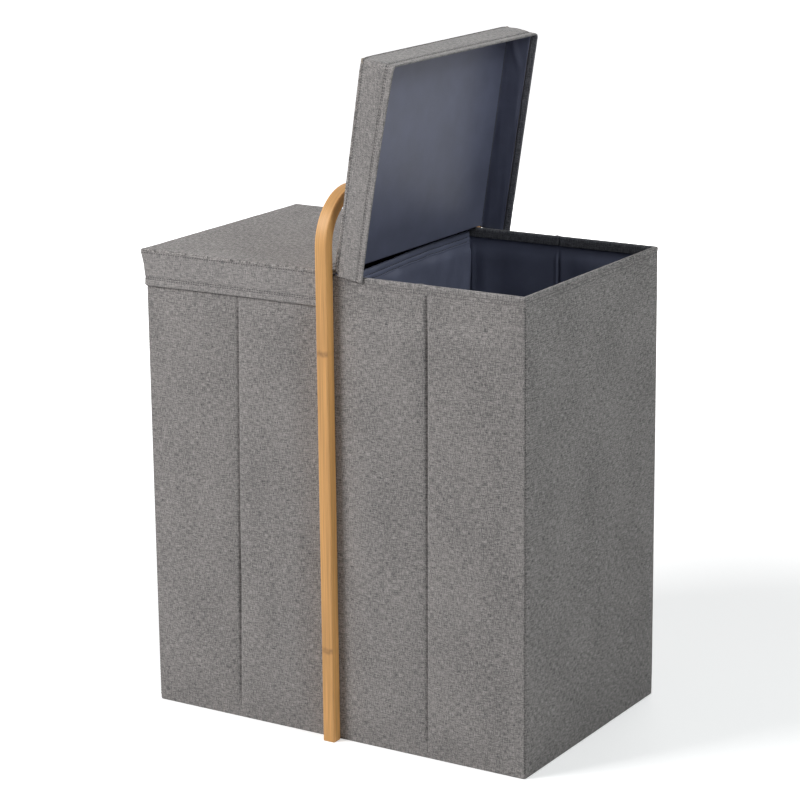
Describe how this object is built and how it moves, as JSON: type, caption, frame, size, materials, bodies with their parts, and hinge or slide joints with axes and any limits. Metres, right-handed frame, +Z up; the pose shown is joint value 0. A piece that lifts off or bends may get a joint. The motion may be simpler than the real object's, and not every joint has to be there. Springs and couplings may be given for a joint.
{
  "type": "laundry hamper with two bins",
  "caption": "Free-standing laundry hamper with cloth-covered bins side by side, each under a hinged lid, and a bent bamboo carrying strip over the middle.",
  "frame": {"origin": "on the floor, under the centre of the body, in the plane of the divider and the bamboo strip", "axes": "+X to the right bin, +Y from the front to the back, +Z up"},
  "size_m": [0.5518, 0.3728, 0.8644],
  "materials": {
    "woven_cloth": "matt heather-grey linen-look weave",
    "coated_lining": "smooth coated cloth with a soft sheen, blue-grey",
    "bamboo": "clear satin lacquer over laminated bamboo",
    "batten_wood": "sawn, unfinished",
    "grey_board": "plain stiff board",
    "zinc_steel": "zinc plated"
  },
  "bodies": {
    "body": {"floor_cover": "woven_cloth", "front_cover": "woven_cloth", "back_cover": "woven_cloth", "left_cover": "woven_cloth", "right_cover": "woven_cloth", "left_lining": "coated_lining", "right_lining": "coated_lining", "divider_board": "grey_board", "hinge_strip": "woven_cloth", "bamboo_strip": "bamboo", "front_batten": "batten_wood", "back_batten": "batten_wood", "front_leg_screw_1": "zinc_steel", "front_leg_screw_2": "zinc_steel", "front_leg_screw_3": "zinc_steel", "back_leg_screw_1": "zinc_steel", "back_leg_screw_2": "zinc_steel", "back_leg_screw_3": "zinc_steel", "left_board": "grey_board", "right_board": "grey_board", "left_front_inner_board": "grey_board", "left_front_outer_board": "grey_board", "left_back_inner_board": "grey_board", "left_back_outer_board": "grey_board", "right_front_inner_board": "grey_board", "right_front_outer_board": "grey_board", "right_back_inner_board": "grey_board", "right_back_outer_board": "grey_board"},
    "left_lid": {"left_lid_cover": "woven_cloth", "left_lid_board": "grey_board", "left_lid_front_skirt_board": "grey_board", "left_lid_back_skirt_board": "grey_board", "left_lid_side_skirt_board": "grey_board", "left_lid_lining": "coated_lining"},
    "right_lid": {"right_lid_cover": "woven_cloth", "right_lid_board": "grey_board", "right_lid_front_skirt_board": "grey_board", "right_lid_back_skirt_board": "grey_board", "right_lid_side_skirt_board": "grey_board", "right_lid_lining": "coated_lining"},
    "left_floor": {"left_floor_board": "grey_board", "left_floor_sheet": "coated_lining", "left_floor_tab": "woven_cloth"},
    "right_floor": {"right_floor_board": "grey_board", "right_floor_sheet": "coated_lining", "right_floor_tab": "woven_cloth"}
  },
  "joints": [
    {"name": "left_lid_hinge", "type": "hinge", "parent": "body", "child": "left_lid", "pos_m": [-0.013, 0, 0.603], "axis": [0, 1, 0], "range_deg": [0, 91]},
    {"name": "right_lid_hinge", "type": "hinge", "parent": "body", "child": "right_lid", "pos_m": [0.013, 0, 0.603], "axis": [0, -1, 0], "range_deg": [-81.2, 9.8]},
    {"name": "left_floor_hinge", "type": "hinge", "parent": "body", "child": "left_floor", "pos_m": [-0.0019, 0, 0.006], "axis": [0, 1, 0], "range_deg": [0, 88]},
    {"name": "right_floor_hinge", "type": "hinge", "parent": "body", "child": "right_floor", "pos_m": [0.0019, 0, 0.006], "axis": [0, -1, 0], "range_deg": [0, 88]}
  ]
}
